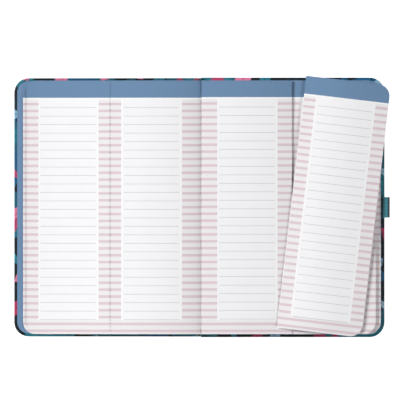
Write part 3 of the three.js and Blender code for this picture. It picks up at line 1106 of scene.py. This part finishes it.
# A place on the loop's long round, and its way out: up the far side, over, down and back under.
def oval_point(run, radius, straight):
    turn = math.pi * radius
    right = X_AXIS * radius
    if run < 2 * straight:
        return right + Z_AXIS * (run - straight), X_AXIS
    run -= 2 * straight
    if run < turn:
        normal = Vector((math.cos(run / radius), 0, math.sin(run / radius)))
        return normal * radius + Z_AXIS * straight, normal
    run -= turn
    if run < 2 * straight:
        return Z_AXIS * (straight - run) - right, -X_AXIS
    run -= 2 * straight
    normal = Vector((-math.cos(run / radius), 0, -math.sin(run / radius)))
    return normal * radius - Z_AXIS * straight, normal


def pen_loop():
    low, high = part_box("pen_loop")
    tab_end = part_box("back_pastedown")[1].x
    far_side = high.x + LOOP_OVERHANG
    height = high.z - (low.z + LOOP_SEAT)
    length = high.y - low.y
    centre = Vector(((tab_end + far_side) / 2, 0, high.z - height / 2))
    radius = (far_side - tab_end - WEBBING) / 2
    straight = (height - WEBBING) / 2 - radius
    around = 2 * math.pi * radius + 4 * straight

    clear_selection()
    bpy.ops.mesh.primitive_grid_add(x_subdivisions=STEPS_ROUND, y_subdivisions=STEPS_ALONG, size=1)
    band = bpy.context.object
    band.name = "pen_loop_webbing"
    unwrap(band, lambda co: ((co.x + 0.5) * around, (co.y + 0.5) * length))
    finish_modifier(band, "SOLIDIFY", thickness=WEBBING * WEBBING_CORE, offset=0)

    def place(co):
        y = co.y * length
        edge = min(1.0, (0.5 - abs(co.y)) * length / SELVEDGE)
        if edge >= 1:
            out = co.z + math.copysign(RIB_HEIGHT * math.cos(2 * math.pi * y / RIB_PITCH), co.z)
        else:
            out = co.z * (SELVEDGE_SHARE + (1 - SELVEDGE_SHARE) * edge)
        point, normal = oval_point((co.x + 0.5) * around, radius, straight)
        return centre + point + normal * out + Vector((0, y, 0))

    move_points(band, place)
    make_active(band)
    bpy.ops.object.mode_set(mode="EDIT")
    bpy.ops.mesh.select_all(action="SELECT")
    bpy.ops.mesh.remove_doubles(threshold=2 * MERGE)
    bpy.ops.mesh.normals_make_consistent(inside=False)
    bpy.ops.object.mode_set(mode="OBJECT")
    smooth(band, angle=50)
    wear(band, webbing)
    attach(band, "back_and_block")
    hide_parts("pen_loop")


leaves_on_front_cover()
leaves_on_back_cover()
torn_slip()
sections()
rounded_wrap("front_cover_wrap", "front_cover", -left_along)
rounded_wrap("back_cover_wrap", "back_and_block", X_AXIS, BACK_OVERHANG)
spine_wrap()
hinge_fold()
dress_inner_pieces()
pen_loop()


# Table, light and camera

# A white table: it glows only for rays that see it, so that it lights nothing and keeps the shadow.
def table():
    clear_selection()
    bpy.ops.mesh.primitive_plane_add(size=4)
    floor = bpy.context.object
    floor.name = "table"
    material, tree, shader = new_finish("white_table", 0.9)
    shader.inputs["Base Color"].default_value = colour("#ebebeb")
    rays = node(tree, "ShaderNodeLightPath")
    seen = any_of(tree, [rays.outputs[name] for name in (
        "Is Camera Ray", "Is Glossy Ray", "Is Transmission Ray"
    )])
    glow = node(tree, "ShaderNodeEmission", {"Strength": 0.82})
    lifted = node(tree, "ShaderNodeAddShader", {0: shader, 1: glow})
    mixed = node(tree, "ShaderNodeMixShader", {0: seen, 1: shader, 2: lifted})
    tree.links.new(mixed.outputs[0], tree.nodes["Material Output"].inputs["Surface"])
    floor.data.materials.append(material)


# A large soft lamp: its strength, and its spread, height and bearing in degrees.
def soft_lamp(name, strength, spread, height, bearing):
    sun = bpy.data.lights.new(name, "SUN")
    sun.energy = strength
    sun.angle = math.radians(spread)
    lamp = bpy.data.objects.new(name, sun)
    height = math.radians(height)
    bearing = math.radians(bearing)
    towards = Vector((
        math.cos(height) * math.cos(bearing), math.cos(height) * math.sin(bearing), math.sin(height)
    ))
    lamp.rotation_euler = towards.to_track_quat("Z", "Y").to_euler()
    bpy.context.scene.collection.objects.link(lamp)


# The key lamp stands low on the left, as the shading by the gutter shows, and a fill on the right.
def lights():
    soft_lamp("key", strength=3.75, spread=20, height=27, bearing=160)
    soft_lamp("fill", strength=1.42, spread=30, height=38, bearing=-8)
    world = bpy.data.worlds.new("studio")
    world.use_nodes = True
    world.node_tree.nodes["Background"].inputs["Strength"].default_value = 0.1
    world.node_tree.nodes["Background"].inputs["Color"].default_value = (1, 1, 1, 1)
    bpy.context.scene.world = world


# Straight above the diary and far away, so that the view is almost free of perspective
def camera():
    data = bpy.data.cameras.new("camera")
    eye = bpy.data.objects.new("camera", data)
    bpy.context.scene.collection.objects.link(eye)
    picture_width = PICTURE_PIXELS / PIXELS_PER_MM * MM
    eye.location = (*PICTURE_CENTRE, CAMERA_HEIGHT)
    data.sensor_width = 36
    data.lens = data.sensor_width * (CAMERA_HEIGHT - PAGE_LEVEL) / picture_width
    data.clip_end = 40
    bpy.context.scene.camera = eye


table()
lights()
camera()
bpy.context.scene.view_settings.view_transform = "Standard"
